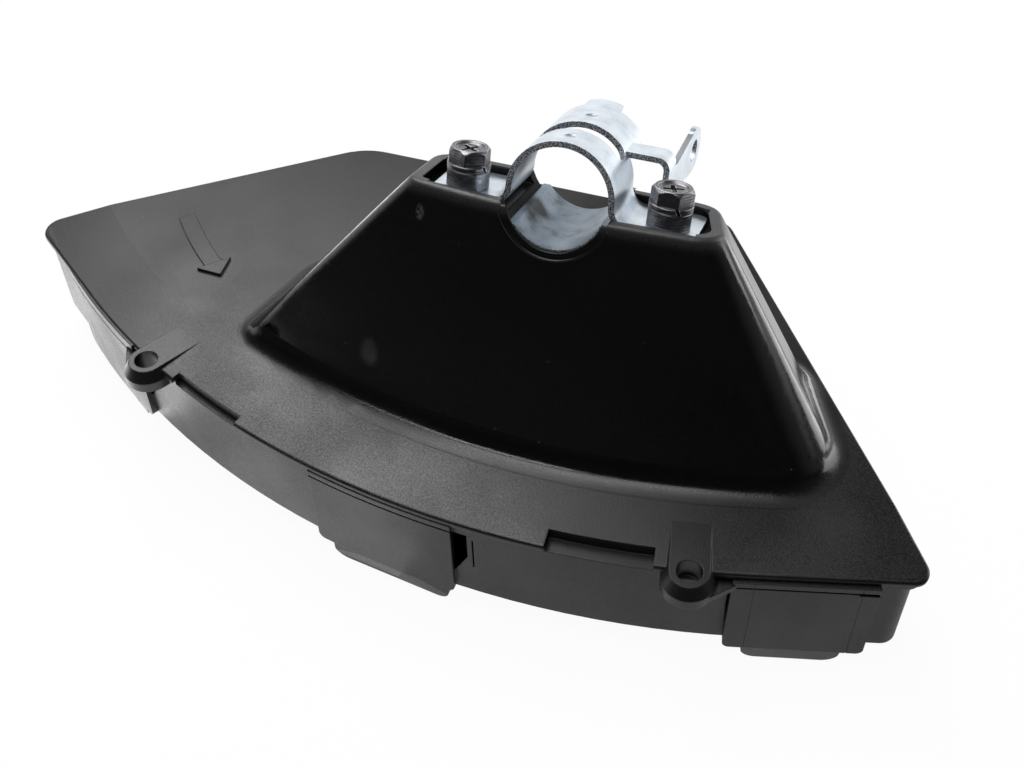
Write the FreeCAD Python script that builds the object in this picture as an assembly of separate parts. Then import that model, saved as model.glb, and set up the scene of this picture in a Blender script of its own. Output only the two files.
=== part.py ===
import FreeCAD, Part
import math
import os
from collections import namedtuple

# Trimmer blade guard: a black moulded shield with a hollow boss that carries a
# bolted sheet-steel clamp for the machine's shaft tube. All sizes in millimetres.
#
# Two working frames. The guard frame has Z on the blade's axis, the plate's flat
# top at z = 0 and the rim towards -Y. The clamp frame has Y along the tube (rearwards),
# Z away from the plate and y = 0 at the front end of the clamp cap. The finished
# pieces share one frame: guard axes, origin in the middle of the clamped bore.

Vec = FreeCAD.Vector
UP = Vec(0, 0, 1)

# shaft tube and sheet metal
TUBE_RADIUS = 13.0
SHEET = 1.6
SHELL_RADIUS = TUBE_RADIUS + SHEET
SEAT_CLEARANCE = 0.1
SEAT_RADIUS = SHELL_RADIUS + SEAT_CLEARANCE

# place of the clamp on the guard
BORE_TILT = 18.0
CAP_LENGTH = 35.5
CAP_SETBACK = 4.9
CAP_ABOVE_RIM = 0.5

# plate outline and section
RIM_RADIUS = 264.8
RIM_ARC = (-34.6, 15.5)
BAND_WIDTH = 20.6
CREASE_RADIUS = RIM_RADIUS - BAND_WIDTH
PLATE_DEPTH = 144.4
LEFT_CORNER_DEPTH = 82.0
RIGHT_CORNER_DEPTH = 28.5
BAND_DROP = 1.5
PLATE = 3.0
LIP_HEIGHT = 1.8
LIP_ROUND = 0.9
REAR_Y = PLATE_DEPTH - RIM_RADIUS
LEFT_EDGE = (Vec(-176.0, LEFT_CORNER_DEPTH - RIM_RADIUS, 0), Vec(-98.5, REAR_Y, 0))
RIGHT_EDGE = (Vec(31.5, REAR_Y, 0), Vec(110.0, RIGHT_CORNER_DEPTH - RIM_RADIUS, 0))
LEFT_CORNER_ROUND = 6.0
REAR_LEFT_ROUND = 22.0
REAR_RIGHT_ROUND = 9.0
RIGHT_CORNER_ROUND = 4.5
BORDER_BOTTOM = -6.2
BORDER_WIDTH = 4.0
BORDER_SIDE_INSET = 0.6
SECTION_INNER_RADIUS = 50.0
SECTION_MARGIN = 15.2
SECTION_OUTER_RADIUS = RIM_RADIUS + SECTION_MARGIN

# skirt wall under the rim
RIM_OVERHANG = 1.2
WALL_RADIUS = RIM_RADIUS - RIM_OVERHANG
WALL = 2.6
WALL_BOTTOM = -31.8
WALL_SIDE_INSET = 2.2
WALL_CORNER_ROUND = 5.0
WALL_RETURN = 26.8
WALL_RETURN_RADIUS = RIM_RADIUS - WALL_RETURN

# strap panels on the wall, angles from the front centre line. A panel with a facing angle is flat
# and lies at its distance from the blade's axis, one without is curved with that radius.
# The left panel reaches up beside the rim, the others stay below it.
HIGH_TOP, LOW_TOP = -1.7, -3.5
Panel = namedtuple("Panel", "facing distance fixed free window_beyond tongue creases top")
PANELS = (
    Panel(None, WALL_RADIUS + 1.8, -38.4, -28.6, 6.2, (-36.0, -30.0), (-36.7,), HIGH_TOP),
    Panel(None, WALL_RADIUS + 1.4, -12.2, -2.4, 4.2, (-11.2, -2.9), (), LOW_TOP),
    Panel(15.1, WALL_RADIUS + 2.35, 22.2, 14.05, 0.4, (21.0, 15.25), (15.3, 21.25), LOW_TOP),
)
PANEL = 2.0
PANEL_ROOF = 2.2
PANEL_SEAM = -5.6
PANEL_ROOT_WIDTH = 5.0
PANEL_ROOT_DEPTH = 6.0
PANEL_BOTTOM = -33.6
PANEL_CORNER_ROUND = 2.0
CREASE_DEPTH = 0.25
CREASE_HALF_WIDTH = 0.3
SEAM_SLOT = (21.05, 22.3)
SEAM_SLOT_HEIGHT = 0.9
SEAM_SLOT_DEPTH = 1.2
WINDOW_TOP = -7.0
WINDOW_BOTTOM = -24.5
WINDOW_SLANT_TOP = -16.6
WINDOW_INSIDE = 9.0
WINDOW_DEPTH = 7.5
POCKET_WALL = 1.6
TONGUE_BOTTOM = -40.6
TONGUE_SETBACK = 0.6
TONGUE_TUCK = 1.2
SLIT_BEYOND_WINDOW = 1.4
SLIT_WIDTH = 0.5
SLIT_DEPTH = 1.6
SLIT_TOP = -8.5
SLIT_BOTTOM = -20.5
TONGUE_ROUND = 4.5

# screw lugs on the rim
LUG_ANGLES = (-26.6, 11.6)
LUG_OVERHANG = 0.8
LUG_CENTRE_RADIUS = RIM_RADIUS + LUG_OVERHANG
LUG_HOLE_RADIUS = 3.5
LUG_PAD_RADIUS = 5.3
LUG_FOOT_RADIUS = 7.3
LUG_TOP = -0.4
LUG_TAPER = 3.4
LUG_RING = 3.2
LUG_ROOT = 14.8
LUG_ROOT_RADIUS = RIM_RADIUS - LUG_ROOT
GUSSET_REACH = 17.0
GUSSET_TOP = -4.6
GUSSET = 2.0
GUSSET_SINK = 0.5
GUSSET_NOSE = 5.5
GUSSET_SIDESTEP = 4.4

# rim notches beside the lugs: start angle, end angle and inner radius
NOTCHES = ((-24.2, -18.2, RIM_RADIUS - 3.2), (3.3, 9.6, RIM_RADIUS - 5.9))
NOTCH_FLOOR = -4.6
SHELF = 2.4
SHELF_MARGIN = 2.8

# raised arrow on the plate
ARROW_TAIL_DEPTH = 90.4
ARROW_TIP_DEPTH = 67.2
ARROW_TAIL = Vec(-140.0, ARROW_TAIL_DEPTH - RIM_RADIUS, 0)
ARROW_TIP = Vec(-115.0, ARROW_TIP_DEPTH - RIM_RADIUS, 0)
ARROW_SHAFT_WIDTH = 5.6
ARROW_HEAD_WIDTH = 11.2
ARROW_HEAD_LENGTH = 6.4
ARROW_SHAFT_ENDS_BEFORE_TIP = 5.0
ARROW_BOW = -0.7
ARROW_SHAFT_RISE = 0.5
ARROW_HEAD_RISE = 1.0

# boss
BOSS_FOOT_GAP = 6.2
BOSS_FRONT_LEAN = 27.4
BOSS_FOOT_RADIUS = CREASE_RADIUS - BOSS_FOOT_GAP
BOSS_RIM_RADIUS = BOSS_FOOT_RADIUS - BOSS_FRONT_LEAN
BOSS_RIM_HEIGHT = 66.1
BOSS_SIDE_FRONT_DEPTH = 22.0
BOSS_SIDE_REAR_DEPTH = 52.0
BOSS_SIDE_FRONT_Y = BOSS_SIDE_FRONT_DEPTH - BOSS_FOOT_RADIUS
BOSS_SIDE_REAR_Y = BOSS_SIDE_REAR_DEPTH - BOSS_FOOT_RADIUS
BOSS_RIGHT_FOOT = (Vec(84.5, BOSS_SIDE_FRONT_Y, 0), Vec(70.5, BOSS_SIDE_REAR_Y, 0))
BOSS_LEFT_FOOT = (Vec(-95.5, BOSS_SIDE_FRONT_Y, 0), Vec(-87.5, BOSS_SIDE_REAR_Y, 0))
BOSS_RIM_HALF_WIDTH = 40.8
BOSS_RIM_MID_DEPTH = 41.0
BOSS_RIM_MID_Y = BOSS_RIM_MID_DEPTH - BOSS_FOOT_RADIUS
BOSS_RIM_MID_HEIGHT = 61.5
BOSS_FOOT_DEPTH = 55.6
BOSS_REAR_LEAN = 1.6
BOSS_REAR_FOOT_Y = BOSS_FOOT_DEPTH - BOSS_FOOT_RADIUS
BOSS_REAR_RIM_Y = BOSS_REAR_FOOT_Y - BOSS_REAR_LEAN
BOSS_WORK_TOP = 85.0
# ridge rounds at the foot and at the uncut top
BOSS_LEFT_RIDGE = (4.0, 4.0)
BOSS_RIGHT_RIDGE = (17.0, 5.0)
BOSS_REAR_RIDGE = (8.0, 8.0)
BOSS_FOOT_FILLET = 8.5
BOSS_RIM_ROUND = 1.5
BOSS_WALL = 2.8
RIM_WALL = 3.0
RIM_LEVEL = -3.0

CAP_FRONT = Vec(0, CAP_SETBACK - BOSS_RIM_RADIUS, BOSS_RIM_HEIGHT + CAP_ABOVE_RIM)

# clamp hardware on the boss, heights in the clamp frame
FLANGE_TOP = -5.0
FLANGE_UNDER = FLANGE_TOP - SHEET
POCKET_FLOOR = 3.0
GROOVE_WALL = 2.8
SEAT_LIP = 1.2
SEAT_LIP_CLEARANCE = 0.4
BOLT_X = 27.6
BOLT_Y = 7.9
BOLT_RADIUS = 3.0
BOLT_CLEARANCE = 0.3
HEAD_ACROSS_FLATS = 10.0
HEAD_HEIGHT = 4.2
HEAD_CHAMFER_DEGREES = 50.0
HEAD_TOP_SHARE = 0.98
HEAD_CONE_DROP = 3.0
DISH_RADIUS = 4.1
DISH_FLOOR_RADIUS = 3.5
DISH_DEPTH = 0.6
RECESS_SPAN = 5.6
RECESS_TURN = 20.0
RECESS_WIDTH = 1.3
RECESS_DEPTH = 2.2
RING_OUTER_RADIUS = 5.85
RING_EDGE = 0.25
WASHER = 1.6
WASHER_SLIT = 0.9
WASHER_SLIT_LEAN = 25.0
WASHER_SLIT_TURN = 60.0
COLLAR = 5.0
COLLAR_STEP = 0.1
PILLAR_RADIUS = 6.6
PILLAR_BOTTOM = -19.0
NUT = 5.0
THREAD_CLEARANCE = 0.05
BOLT_END_BEYOND_NUT = 1.5
LEFT_STACK_TURN = 35.0

# clamp saddle
SADDLE_FRONT = -4.0
SADDLE_REAR = 28.0
SADDLE_RIGHT_EDGE = -4.2
SADDLE_LEFT_EDGE = -8.2

# clamp cap
LEG_REAR = 19.8
FLANGE_BEND = -FLANGE_TOP
FLANGE_FRONT = 0.0
FLANGE_END_X = 36.0
FLANGE_CORNER_ROUND = 2.5
REAR_ARC_DEGREES = 60.0
CROSS_SLOT = (11.5, 18.2)
CROSS_SLOT_DEGREES = 45.0
DIMPLES_Y = (4.9, 24.0)
DIMPLE_RADIUS = 6.0
DIMPLE_DEPTH = 0.45
TONGUE_DEGREES = 20.0
REAR_TONGUE = 5.0
EAR_TOP = 8.7
EAR_FRONT = LEG_REAR - 1.0
EAR_STRIP = 8.0
EAR_FACE_X = 24.0
EAR_BEND = 2.0
EAR_ROOT_X = 11.0
EAR_FOOT = -2.6
EAR_EYE = (45.0, 3.5)
EAR_EYE_RADIUS = 6.6
EAR_HOLE_RADIUS = 3.15
EAR_TOE_OUT = 3.0

# reaches of cutting shapes, well beyond what they cut
REACH = 400.0
BORE_REACH = 80.0


def polar(radius, degrees, z=0.0):
    """Point at a radius from the blade's axis and an angle from the front centre line."""
    angle = math.radians(degrees)
    return Vec(radius * math.sin(angle), -radius * math.cos(angle), z)


def prism(points, bottom, top):
    """Upright prism over a closed polygon of points."""
    corners = [Vec(p.x, p.y, bottom) for p in points]
    face = Part.Face(Part.makePolygon(corners + corners[:1]))
    return face.extrude(UP * (top - bottom))


def turned(profile):
    """Solid of revolution about the blade's axis from (radius, height) corners."""
    corners = [Vec(radius, 0, z) for radius, z in profile]
    face = Part.Face(Part.makePolygon(corners + corners[:1]))
    return face.revolve(Vec(0, 0, 0), UP, 360)


def sector(inner, outer, start, end, bottom, top):
    """Piece of a ring about the blade's axis between two angles."""
    low, high = min(start, end), max(start, end)
    middle = (low + high) / 2
    edges = [
        Part.Arc(polar(outer, low, bottom), polar(outer, middle, bottom), polar(outer, high, bottom)).toShape(),
        Part.makeLine(polar(outer, high, bottom), polar(inner, high, bottom)),
        Part.Arc(polar(inner, high, bottom), polar(inner, middle, bottom), polar(inner, low, bottom)).toShape(),
        Part.makeLine(polar(inner, low, bottom), polar(outer, low, bottom)),
    ]
    return Part.Face(Part.Wire(edges)).extrude(UP * (top - bottom))


def rounded_edges(solid, radius, wanted):
    """Round every edge of the solid for which wanted(edge) is true."""
    edges = [edge for edge in solid.Edges if wanted(edge)]
    return solid.makeFillet(radius, edges)


def is_upright_at(point, reach):
    """Test for straight upright edges close to a point in plan."""
    def wanted(edge):
        first, last = edge.Vertexes[0].Point, edge.Vertexes[-1].Point
        flat = math.hypot(first.x - last.x, first.y - last.y)
        near = math.hypot(first.x - point.x, first.y - point.y)
        return flat < 1e-6 and near < reach
    return wanted


def line_crossing(first, second):
    """Point where two plan lines, each given by two points, cross."""
    p, r = first[0], first[1] - first[0]
    q, s = second[0], second[1] - second[0]
    along = ((q.x - p.x) * s.y - (q.y - p.y) * s.x) / (r.x * s.y - r.y * s.x)
    return p + r * along


def shifted_line(line, distance):
    """Plan line moved to its left (seen along its direction) by a distance."""
    direction = (line[1] - line[0]).normalize()
    left = Vec(-direction.y, direction.x, 0) * distance
    return (line[0] + left, line[1] + left)


def rim_tangent(radius, degrees):
    """Plan line that touches the front arc at an angle, drawn to the right."""
    touch = polar(radius, degrees)
    return (touch, touch + Vec(-touch.y, touch.x, 0).normalize() * radius)


def outline_prism(radius, inset, bottom, top, rounds):
    """Plate outline as a prism: front arc with straight ends, two straight sides and a rear edge.

    rounds are the corner radii at the left rim, rear left, rear right and right rim.
    """
    left = shifted_line(LEFT_EDGE, -inset)
    right = shifted_line(RIGHT_EDGE, -inset)
    rear = (Vec(-REACH, REAR_Y - inset, 0), Vec(REACH, REAR_Y - inset, 0))
    left_front, right_front = [rim_tangent(radius, degrees) for degrees in RIM_ARC]
    corners = [line_crossing(left, left_front), line_crossing(left, rear),
               line_crossing(right, rear), line_crossing(right, right_front)]
    arc_points = [right_front[0], polar(radius, sum(RIM_ARC) / 2), left_front[0]]
    lift = UP * bottom
    ends = [corner + lift for corner in corners]
    arc = [point + lift for point in arc_points]
    edges = [Part.makeLine(ends[0], ends[1]), Part.makeLine(ends[1], ends[2]),
             Part.makeLine(ends[2], ends[3]), Part.makeLine(ends[3], arc[0]),
             Part.Arc(*arc).toShape(), Part.makeLine(arc[2], ends[0])]
    solid = Part.Face(Part.Wire(edges)).extrude(UP * (top - bottom))
    for corner, radius_here in zip(corners, rounds):
        if radius_here:
            solid = rounded_edges(solid, radius_here, is_upright_at(corner, 0.5))
    return solid


def in_guard(shape):
    """Clamp-frame shape placed in the guard frame."""
    placed = shape.copy()
    placed.rotate(Vec(0, 0, 0), Vec(1, 0, 0), -BORE_TILT)
    placed.translate(CAP_FRONT)
    return placed


def level_block(bottom, top):
    """Everything between two heights of the clamp frame, in the guard frame."""
    block = Part.makeBox(2 * REACH, 2 * REACH, top - bottom, Vec(-REACH, -REACH, bottom))
    return in_guard(block)


def bore_cylinder(radius, start, end):
    """Cylinder on the bore's axis between two clamp-frame stations."""
    return Part.makeCylinder(radius, end - start, Vec(0, start, 0), Vec(0, 1, 0))


# shield: plate and skirt

def make_plate():
    """Plate with a flat inner zone, a gently sloping rim band and a rounded lip."""
    rim_top = -BAND_DROP
    lip_foot = rim_top - LIP_HEIGHT
    slope = BAND_DROP / (RIM_RADIUS - CREASE_RADIUS)
    outer_top = -slope * (SECTION_OUTER_RADIUS - CREASE_RADIUS)
    section = turned([(SECTION_INNER_RADIUS, 0), (CREASE_RADIUS, 0), (SECTION_OUTER_RADIUS, outer_top),
                      (SECTION_OUTER_RADIUS, lip_foot), (WALL_RADIUS - WALL, lip_foot),
                      (CREASE_RADIUS, -PLATE), (SECTION_INNER_RADIUS, -PLATE)])
    rounds = (LEFT_CORNER_ROUND, REAR_LEFT_ROUND, REAR_RIGHT_ROUND, RIGHT_CORNER_ROUND)
    outline = outline_prism(RIM_RADIUS, 0.0, -REACH, REACH, rounds)
    plate = section.common(outline)

    def is_top_border(edge):
        if edge.BoundBox.ZMin < rim_top - LIP_HEIGHT / 2:
            return False
        middle = edge.valueAt((edge.FirstParameter + edge.LastParameter) / 2)
        return not outline.isInside(middle, 0.02, False)
    return rounded_edges(plate, LIP_ROUND, is_top_border)


def make_border():
    """Thicker border under the plate's edge, flush with the skirt along the front."""
    rounds = (LEFT_CORNER_ROUND, REAR_LEFT_ROUND, REAR_RIGHT_ROUND, RIGHT_CORNER_ROUND)

    def layer(step, corner_rounds):
        return outline_prism(WALL_RADIUS - step, BORDER_SIDE_INSET + step, BORDER_BOTTOM, -PLATE / 2, corner_rounds)
    inner_rounds = [max(radius - BORDER_WIDTH, 0.0) for radius in rounds]
    return layer(0.0, rounds).cut(layer(BORDER_WIDTH, inner_rounds))


def make_skirt():
    """Upright wall under the rim that turns both front corners and ends in short returns."""
    def layer(step):
        round_here = WALL_CORNER_ROUND - step
        return outline_prism(WALL_RADIUS - step, WALL_SIDE_INSET + step, WALL_BOTTOM, -PLATE / 2,
                             (round_here, 0, 0, round_here))
    wall = layer(0.0).cut(layer(WALL))
    inner = Part.makeCylinder(WALL_RETURN_RADIUS, 2 * REACH, Vec(0, 0, -REACH))
    return wall.cut(inner)


def toward_free(panel):
    """Turning sense from a panel's fixed side to its free side, 1 or -1."""
    return math.copysign(1, panel.free - panel.fixed)


def degrees_along(length):
    """Angle that spans a length measured along the wall."""
    return math.degrees(length / WALL_RADIUS)


def panel_point(panel, degrees, behind):
    """Plan point on a panel's outer face, or a distance behind it, at an angle."""
    distance = panel.distance - behind
    if panel.facing is None:
        return polar(distance, degrees)
    return polar(distance / math.cos(math.radians(degrees - panel.facing)), degrees)


def panel_slab(panel, start, end, behind, depth, bottom, top):
    """Upright slab that follows a panel between two angles and two distances behind its outer face."""
    if panel.facing is None:
        outer = panel.distance - behind
        return sector(outer - depth, outer, start, end, bottom, top)
    return prism([panel_point(panel, start, behind), panel_point(panel, end, behind),
                  panel_point(panel, end, behind + depth), panel_point(panel, start, behind + depth)], bottom, top)


def round_lower_corners(slab, radius, bottom, depth):
    """Slab with its two lower outer corners rounded as seen from the front."""
    def is_lower_corner(edge):
        first, last = edge.Vertexes[0].Point, edge.Vertexes[-1].Point
        level = abs(first.z - bottom) < 1e-6 and abs(last.z - bottom) < 1e-6
        return level and edge.Length < 2 * depth
    return rounded_edges(slab, radius, is_lower_corner)


def make_panel(panel):
    """Strap panel: a thin slab in front of the wall, a roof that ties it to the wall and a lower tongue."""
    slab = panel_slab(panel, panel.fixed, panel.free, 0.0, PANEL, PANEL_BOTTOM, panel.top)
    slab = round_lower_corners(slab, PANEL_CORNER_ROUND, PANEL_BOTTOM, PANEL)
    root_end = panel.fixed + toward_free(panel) * degrees_along(PANEL_ROOT_WIDTH)
    root = panel_slab(panel, panel.fixed, root_end, PANEL / 2, PANEL_ROOT_DEPTH, WALL_BOTTOM, panel.top)
    reach_in = panel.distance - WALL_RADIUS + WALL
    roof = panel_slab(panel, panel.fixed, panel.free, PANEL / 2, reach_in, panel.top - PANEL_ROOF, panel.top)
    start, end = panel.tongue
    tongue = panel_slab(panel, start, end, TONGUE_SETBACK, PANEL, TONGUE_BOTTOM, PANEL_BOTTOM + PANEL)
    tongue = round_lower_corners(tongue, TONGUE_ROUND, TONGUE_BOTTOM, PANEL)
    return [slab, root, roof, tongue.cut(make_tuck(panel))]


def make_tuck(panel):
    """Wedge in front of a panel's tongue that leaves the tongue leaning inwards."""
    middle = (panel.tongue[0] + panel.tongue[1]) / 2
    outward = polar(1.0, middle if panel.facing is None else panel.facing)
    along = Vec(-outward.y, outward.x, 0)
    face = panel_point(panel, middle, TONGUE_SETBACK)
    upper, lower = face + UP * PANEL_BOTTOM, face - outward * TONGUE_TUCK + UP * TONGUE_BOTTOM
    fall = (lower - upper) * 2
    corners = [upper, upper + fall, upper + fall + outward * WINDOW_DEPTH, upper + outward * WINDOW_DEPTH]
    corners = [corner - along * REACH / 4 for corner in corners]
    return Part.Face(Part.makePolygon(corners + corners[:1])).extrude(along * REACH / 2)


def make_seam(panel):
    """Fine level score line near a panel's top."""
    return panel_slab(panel, panel.fixed, panel.free, -CREASE_DEPTH, 2 * CREASE_DEPTH,
                      PANEL_SEAM - CREASE_HALF_WIDTH, PANEL_SEAM + CREASE_HALF_WIDTH)


def make_slit(panel):
    """Narrow upright slit in the wall just beyond a panel's pocket."""
    turn = toward_free(panel)
    start = window_span(panel)[1] + turn * degrees_along(SLIT_BEYOND_WINDOW)
    end = start + turn * degrees_along(SLIT_WIDTH)
    return sector(WALL_RADIUS - SLIT_DEPTH, WALL_RADIUS + SLIT_DEPTH, min(start, end), max(start, end),
                  SLIT_BOTTOM, SLIT_TOP)


def make_crease(panel, degrees):
    """Fine upright score line across a panel's outer face."""
    half = degrees_along(CREASE_HALF_WIDTH)
    points = [panel_point(panel, degrees - half, -CREASE_DEPTH), panel_point(panel, degrees + half, -CREASE_DEPTH),
              panel_point(panel, degrees, CREASE_DEPTH)]
    return prism(points, PANEL_BOTTOM - 1, panel.top + 1)


def make_seam_slot():
    """Short slot at the fixed end of the right panel's seam."""
    start, end = SEAM_SLOT
    return panel_slab(PANELS[2], start, end, -SEAM_SLOT_DEPTH, 2 * SEAM_SLOT_DEPTH,
                      PANEL_SEAM - SEAM_SLOT_HEIGHT, PANEL_SEAM + CREASE_HALF_WIDTH)


def window_span(panel):
    """Angles of the two sides of the pocket behind a panel, fixed side first."""
    turn = toward_free(panel)
    inner = panel.free - turn * degrees_along(WINDOW_INSIDE)
    outer = panel.free + turn * degrees_along(panel.window_beyond)
    return inner, outer


def make_pocket_block(panel):
    """Thickening behind the wall that encloses a panel's pocket."""
    inner, outer = window_span(panel)
    edge = toward_free(panel) * degrees_along(POCKET_WALL)
    back = WALL_RADIUS - WINDOW_DEPTH - POCKET_WALL
    return sector(back, WALL_RADIUS - WALL / 2, inner - edge, outer + edge, WALL_BOTTOM + POCKET_WALL, -PLATE / 2)


def make_window(panel):
    """Blind pocket in the wall behind a strap panel, with a slanted lower corner at its open side."""
    inner, outer = window_span(panel)
    front = WALL_RADIUS + RIM_OVERHANG / 2
    room = sector(WALL_RADIUS - WINDOW_DEPTH, front, inner, outer, WINDOW_BOTTOM, WINDOW_TOP)
    across = toward_free(panel) * panel.window_beyond
    middle = polar(WALL_RADIUS, outer)
    outward = polar(1.0, outer)
    along = Vec(-outward.y, outward.x, 0)
    base = middle - outward * 2 * WINDOW_DEPTH
    corners = [base + UP * WINDOW_SLANT_TOP, base + UP * (WINDOW_BOTTOM - 1), base + UP * (WINDOW_BOTTOM - 1) - along * across,
               base + UP * WINDOW_BOTTOM - along * across]
    slant = Part.Face(Part.makePolygon(corners + corners[:1])).extrude(outward * 4 * WINDOW_DEPTH)
    return room.cut(slant)


# shield: lugs, notches and arrow

def lug_profile(angle, radius, z):
    """Closed D outline of a lug at one height: straight sides from its root and a round end."""
    outward = polar(1.0, angle)
    across = Vec(-outward.y, outward.x, 0)
    centre = polar(LUG_CENTRE_RADIUS, angle, z)
    root = polar(LUG_ROOT_RADIUS, angle, z)
    points = [root + across * radius, centre + across * radius, centre + outward * radius,
              centre - across * radius, root - across * radius]
    edges = [Part.makeLine(points[0], points[1]), Part.Arc(points[1], points[2], points[3]).toShape(),
             Part.makeLine(points[3], points[4]), Part.makeLine(points[4], points[0])]
    return Part.Wire(edges)


def make_lug(angle):
    """Screw lug: flat pad, tapering sides and an upright ring below."""
    taper_foot = LUG_TOP - LUG_TAPER
    ring_foot = taper_foot - LUG_RING
    taper = Part.makeLoft([lug_profile(angle, LUG_FOOT_RADIUS, taper_foot),
                           lug_profile(angle, LUG_PAD_RADIUS, LUG_TOP)], True, True)
    ring = Part.Face(lug_profile(angle, LUG_FOOT_RADIUS, ring_foot)).extrude(UP * LUG_RING)
    return taper.fuse(ring)


def make_gusset(angle, side):
    """Level triangular web from a lug's ring to the wall, on one side of the lug."""
    per_degree = math.radians(1) * WALL_RADIUS
    far = polar(WALL_RADIUS - GUSSET_SINK, angle + side * GUSSET_REACH / per_degree)
    near = polar(LUG_CENTRE_RADIUS + GUSSET_NOSE, angle + side * GUSSET_SIDESTEP / per_degree)
    root = polar(WALL_RADIUS - GUSSET_SINK, angle)
    return prism([root, near, far], GUSSET_TOP - GUSSET, GUSSET_TOP)


def make_lug_hole(angle):
    """Hole through a lug's pad and ring."""
    depth = LUG_TAPER + LUG_RING
    return Part.makeCylinder(LUG_HOLE_RADIUS, 2 * depth, polar(LUG_CENTRE_RADIUS, angle, LUG_TOP - depth))


def make_arrow():
    """Raised arrow: a slightly bowed shaft and a plain head."""
    along = (ARROW_TIP - ARROW_TAIL).normalize()
    across = Vec(-along.y, along.x, 0)
    half = across * (ARROW_SHAFT_WIDTH / 2)
    shaft_end = ARROW_TIP - along * ARROW_SHAFT_ENDS_BEFORE_TIP
    middle = (ARROW_TAIL + shaft_end) / 2 + across * ARROW_BOW
    corners = [ARROW_TAIL + half, shaft_end + half, shaft_end - half, ARROW_TAIL - half]
    edges = [Part.Arc(corners[0], middle + half, corners[1]).toShape(), Part.makeLine(corners[1], corners[2]),
             Part.Arc(corners[2], middle - half, corners[3]).toShape(), Part.makeLine(corners[3], corners[0])]
    root = Vec(0, 0, -PLATE / 2)
    shaft = Part.Face(Part.Wire(edges)).extrude(UP * (ARROW_SHAFT_RISE + PLATE / 2))
    shaft.translate(root)
    head_base = ARROW_TIP - along * ARROW_HEAD_LENGTH
    wide = across * (ARROW_HEAD_WIDTH / 2)
    head = prism([ARROW_TIP, head_base + wide, head_base - wide], -PLATE / 2, ARROW_HEAD_RISE)
    return [shaft, head]


# shield: boss

def side_line(foot, height, inset):
    """Plan line of a boss side at one height, leaning from its foot to the rim, moved in by an inset."""
    direction = (foot[1] - foot[0]).normalize()
    normal = Vec(direction.y, -direction.x, 0)
    if normal.x * foot[0].x < 0:
        normal = normal * -1
    rim_x = math.copysign(BOSS_RIM_HALF_WIDTH, foot[0].x)
    lean = normal.dot(foot[0] - Vec(rim_x, BOSS_RIM_MID_Y, 0)) / BOSS_RIM_MID_HEIGHT
    move = normal * -(lean * height + inset)
    return (foot[0] + move, foot[1] + move)


def boss_wedge(inset, bottom, top):
    """Boss body before its top is cut: leaning flat sides, near-upright rear, conical front."""
    rings = []
    for height in (bottom, top):
        part_way = height / BOSS_RIM_MID_HEIGHT
        rear_y = BOSS_REAR_FOOT_Y + (BOSS_REAR_RIM_Y - BOSS_REAR_FOOT_Y) * part_way - inset
        rear = (Vec(-REACH, rear_y, 0), Vec(REACH, rear_y, 0))
        front = (Vec(-REACH, -REACH, 0), Vec(REACH, -REACH, 0))
        left = side_line(BOSS_LEFT_FOOT, height, inset)
        right = side_line(BOSS_RIGHT_FOOT, height, inset)
        plan = [line_crossing(left, rear), line_crossing(right, rear),
                line_crossing(right, front), line_crossing(left, front)]
        rings.append([Vec(p.x, p.y, height) for p in plan])
    low, high = rings
    faces = [Part.Face(Part.makePolygon(ring + ring[:1])) for ring in rings]
    for index in range(4):
        after = (index + 1) % 4
        corners = [low[index], low[after], high[after], high[index]]
        faces.append(Part.Face(Part.makePolygon(corners + corners[:1])))
    wedge = Part.Solid(Part.Shell(faces))
    lean = (BOSS_FOOT_RADIUS - BOSS_RIM_RADIUS) / BOSS_RIM_HEIGHT
    step = inset * math.hypot(1.0, lean)
    cone = Part.makeCone(BOSS_FOOT_RADIUS - lean * bottom - step, BOSS_FOOT_RADIUS - lean * top - step,
                         top - bottom, Vec(0, 0, bottom))
    return wedge.common(cone)


def round_ridges(body, inset):
    """Boss body with its four long leaning edges rounded, tighter by the inset."""
    rear_limit = (BOSS_REAR_RIM_Y + BOSS_RIM_MID_Y) / 2 - inset
    for rear, right, rounds in ((True, True, BOSS_REAR_RIDGE), (True, False, BOSS_REAR_RIDGE),
                                (False, True, BOSS_RIGHT_RIDGE), (False, False, BOSS_LEFT_RIDGE)):
        for edge in body.Edges:
            middle = edge.CenterOfMass
            long_lean = edge.BoundBox.ZLength > BOSS_RIM_MID_HEIGHT
            if long_lean and (middle.y > rear_limit) == rear and (middle.x > 0) == right:
                foot, top = [size - inset for size in rounds]
                upward = edge.Vertexes[0].Point.z < edge.Vertexes[-1].Point.z
                first, last = (foot, top) if upward else (top, foot)
                body = body.makeFillet(first, last, [edge])
                break
    return body


def make_boss_body():
    """Closed boss with rounded ridges, cut off at the tilted rim, whose edge is rounded."""
    body = round_ridges(boss_wedge(0.0, -PLATE / 2, BOSS_WORK_TOP), 0.0)
    body = body.common(level_block(-REACH, RIM_LEVEL))
    rim_up = in_guard(Part.Vertex(UP)).Point - CAP_FRONT

    def is_rim(edge):
        middle = edge.valueAt((edge.FirstParameter + edge.LastParameter) / 2)
        points = [vertex.Point for vertex in edge.Vertexes] + [middle]
        return all(abs((point - CAP_FRONT).dot(rim_up) - RIM_LEVEL) < 1e-3 for point in points)
    return rounded_edges(body, BOSS_RIM_ROUND, is_rim)


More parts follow.
